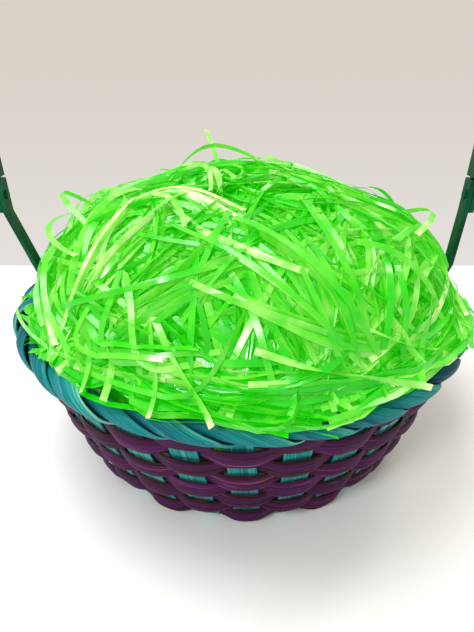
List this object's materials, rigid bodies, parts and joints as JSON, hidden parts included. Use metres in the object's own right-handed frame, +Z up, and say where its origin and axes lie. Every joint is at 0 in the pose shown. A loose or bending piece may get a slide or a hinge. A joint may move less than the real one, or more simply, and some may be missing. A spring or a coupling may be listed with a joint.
{
  "type": "easter basket",
  "caption": "Round woven splint basket with a wound border, a folding hoop handle on pinned ears, and a heaped filling of loose shredded grass.",
  "frame": {"origin": "middle of the basket's flat underside, on the table", "axes": "+Z up; +X to the basket's right seen from the front, along the handle's span and its fold axis; the front faces -Y"},
  "size_m": [0.3136, 0.304, 0.3604],
  "materials": {
    "dyed_teal_splint": "thin split bamboo dyed teal, satin with fine lengthwise ribs",
    "dyed_violet_splint": "thin split bamboo dyed plum violet, satin with fine grain",
    "plain_splint": "undyed bamboo, matt",
    "green_handle": "smooth bamboo strip stained dark green, satin",
    "green_peg": "turned peg stained dark green, satin",
    "grass_film": "glossy translucent green film shred"
  },
  "bodies": {
    "basket": {"stake_strip_lengthwise_1": "dyed_teal_splint", "stake_strip_lengthwise_2": "dyed_teal_splint", "stake_strip_lengthwise_3": "dyed_teal_splint", "stake_strip_lengthwise_4": "dyed_teal_splint", "stake_strip_lengthwise_5": "dyed_teal_splint", "stake_strip_lengthwise_6": "dyed_teal_splint", "stake_strip_lengthwise_7": "dyed_teal_splint", "stake_strip_crosswise_1": "dyed_teal_splint", "stake_strip_crosswise_2": "dyed_teal_splint", "stake_strip_crosswise_3": "dyed_teal_splint", "stake_strip_crosswise_4": "dyed_teal_splint", "stake_strip_crosswise_5": "dyed_teal_splint", "stake_strip_crosswise_6": "dyed_teal_splint", "stake_strip_crosswise_7": "dyed_teal_splint", "stake_strip_crosswise_8": "dyed_teal_splint", "weaver_row_1": "dyed_violet_splint", "weaver_row_2": "dyed_violet_splint", "weaver_row_3": "dyed_violet_splint", "weaver_row_4": "dyed_violet_splint", "weaver_row_5": "dyed_violet_splint", "weaver_row_6": "dyed_violet_splint", "weaver_row_7": "dyed_violet_splint", "weaver_row_8": "dyed_violet_splint", "rim_core": "plain_splint", "ear_right": "green_handle", "ear_left": "green_handle", "pin_right": "green_peg", "pin_left": "green_peg", "grass_fill": "grass_film"},
    "handle": {"handle_hoop": "green_handle"}
  },
  "joints": [
    {"name": "handle_fold", "type": "hinge", "parent": "basket", "child": "handle", "pos_m": [0, 0, 0.169], "axis": [1, 0, 0], "range_deg": [-120, 120]}
  ]
}
